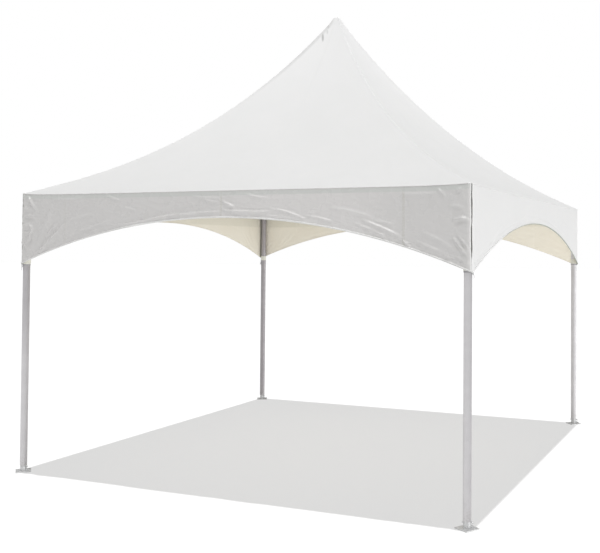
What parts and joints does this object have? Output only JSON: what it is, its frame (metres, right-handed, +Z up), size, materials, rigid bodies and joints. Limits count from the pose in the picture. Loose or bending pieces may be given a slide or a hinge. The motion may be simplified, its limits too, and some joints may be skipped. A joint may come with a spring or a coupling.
{
  "type": "marquee tent",
  "caption": "Square high-peak marquee, open on all sides, with a concave roof, arched valances, tubular legs and a short mast on crossed cables.",
  "frame": {"origin": "on the ground, in the middle between the legs", "axes": "+Z up; +X along the front side, from its left leg to its right leg; the front side faces -Y"},
  "size_m": [4.1754, 4.1754, 4.2485],
  "materials": {
    "canopy": "white coated vinyl, satin, cream inside",
    "frame_tube": "mill finish tube, dull",
    "steel_fittings": "galvanised, dull",
    "wire_rope": "stranded wire rope",
    "webbing": "woven strap with a cam buckle"
  },
  "bodies": {
    "root": {"leg_front_left": "frame_tube", "leg_front_right": "frame_tube", "leg_back_right": "frame_tube", "leg_back_left": "frame_tube", "base_plate_front_left": "steel_fittings", "base_plate_front_right": "steel_fittings", "base_plate_back_right": "steel_fittings", "base_plate_back_left": "steel_fittings", "corner_fitting_front_left": "steel_fittings", "corner_fitting_front_right": "steel_fittings", "corner_fitting_back_right": "steel_fittings", "corner_fitting_back_left": "steel_fittings", "eave_beam_front": "frame_tube", "eave_beam_right": "frame_tube", "eave_beam_back": "frame_tube", "eave_beam_left": "frame_tube", "cross_cable_front_left": "wire_rope", "cross_cable_front_right": "wire_rope", "cross_cable_back_right": "wire_rope", "cross_cable_back_left": "wire_rope", "mast_tube": "frame_tube", "mast_foot": "steel_fittings", "mast_head": "steel_fittings", "roof_panel_front": "canopy", "roof_panel_right": "canopy", "roof_panel_back": "canopy", "roof_panel_left": "canopy", "peak_cap": "canopy", "valance_front": "canopy", "valance_right": "canopy", "valance_back": "canopy", "valance_left": "canopy", "corner_strap_front_left": "webbing", "corner_strap_front_right": "webbing", "corner_strap_back_right": "webbing", "corner_strap_back_left": "webbing"}
  },
  "joints": []
}
